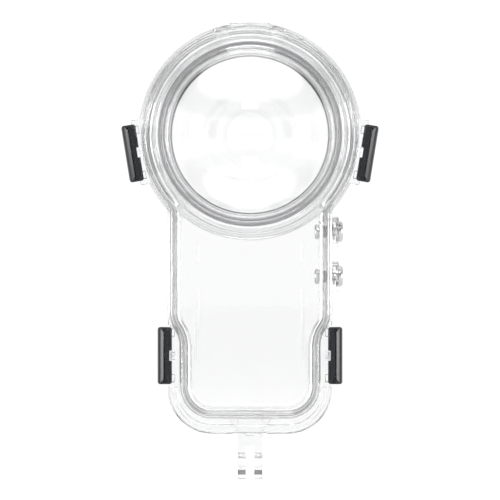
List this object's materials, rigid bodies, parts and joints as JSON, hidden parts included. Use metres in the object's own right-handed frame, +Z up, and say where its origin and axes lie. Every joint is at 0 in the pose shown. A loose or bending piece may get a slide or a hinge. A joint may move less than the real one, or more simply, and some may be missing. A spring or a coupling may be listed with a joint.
{
  "type": "camera dive housing",
  "caption": "Clear waterproof housing for a two-lens camera, with domes, side snap latches, push buttons and a two-finger mounting foot.",
  "frame": {"origin": "centre of the mounting foot's pivot hole, on the plane where the two shells meet", "axes": "+Z up from the foot to the domes, -Y out of the front dome, +X to the right seen from the front, where the buttons are"},
  "size_m": [0.095, 0.0926, 0.168],
  "materials": {
    "clear_polycarbonate": "polished, water-clear",
    "clear_seal": "translucent silicone",
    "grey_seal": "grey translucent silicone",
    "black_latch": "glossy moulded black",
    "steel": "turned stainless steel",
    "o_ring_rubber": "matte black rubber"
  },
  "bodies": {
    "rear_case": {"rear_shell": "clear_polycarbonate", "rear_dome": "clear_polycarbonate", "rear_dome_ring": "clear_polycarbonate", "rear_dome_seal": "grey_seal", "main_seal": "clear_seal", "latch_pin_upper_left": "steel", "latch_pin_upper_right": "steel", "latch_pin_lower_left": "steel", "latch_pin_lower_right": "steel", "button_spring_upper": "steel", "button_spring_lower": "steel"},
    "front_cover": {"front_shell": "clear_polycarbonate", "front_dome": "clear_polycarbonate", "front_dome_ring": "clear_polycarbonate", "front_dome_seal": "grey_seal"},
    "upper_left_latch": {"latch_upper_left": "black_latch"},
    "upper_right_latch": {"latch_upper_right": "black_latch"},
    "lower_left_latch": {"latch_lower_left": "black_latch"},
    "lower_right_latch": {"latch_lower_right": "black_latch"},
    "upper_button": {"button_plunger_upper": "steel", "button_o_ring_upper": "o_ring_rubber", "button_clip_upper": "steel", "button_foot_upper": "steel"},
    "lower_button": {"button_plunger_lower": "steel", "button_o_ring_lower": "o_ring_rubber", "button_clip_lower": "steel", "button_foot_lower": "steel"}
  },
  "joints": [
    {"name": "front_cover_lift", "type": "slide", "parent": "rear_case", "child": "front_cover", "axis": [0, -1, 0], "range_m": [0, 0.06]},
    {"name": "latch_upper_left_hinge", "type": "hinge", "parent": "rear_case", "child": "upper_left_latch", "pos_m": [-0.04373, 0.0056, 0.11242], "axis": [0.1599, 0, -0.9871], "range_deg": [0, 120]},
    {"name": "latch_upper_right_hinge", "type": "hinge", "parent": "rear_case", "child": "upper_right_latch", "pos_m": [0.04373, 0.0056, 0.11242], "axis": [0.1599, 0, 0.9871], "range_deg": [0, 120]},
    {"name": "latch_lower_left_hinge", "type": "hinge", "parent": "rear_case", "child": "lower_left_latch", "pos_m": [-0.0319, 0.0056, 0.0382], "axis": [0, 0, -1], "range_deg": [0, 120]},
    {"name": "latch_lower_right_hinge", "type": "hinge", "parent": "rear_case", "child": "lower_right_latch", "pos_m": [0.0319, 0.0056, 0.0382], "axis": [0, 0, 1], "range_deg": [0, 120]},
    {"name": "upper_button_press", "type": "slide", "parent": "rear_case", "child": "upper_button", "axis": [-1, 0, 0], "range_m": [0, 0.0014], "stiffness_N_per_m": 600, "deforming": ["button_spring_upper"]},
    {"name": "lower_button_press", "type": "slide", "parent": "rear_case", "child": "lower_button", "axis": [-1, 0, 0], "range_m": [0, 0.0014], "stiffness_N_per_m": 600, "deforming": ["button_spring_lower"]}
  ]
}
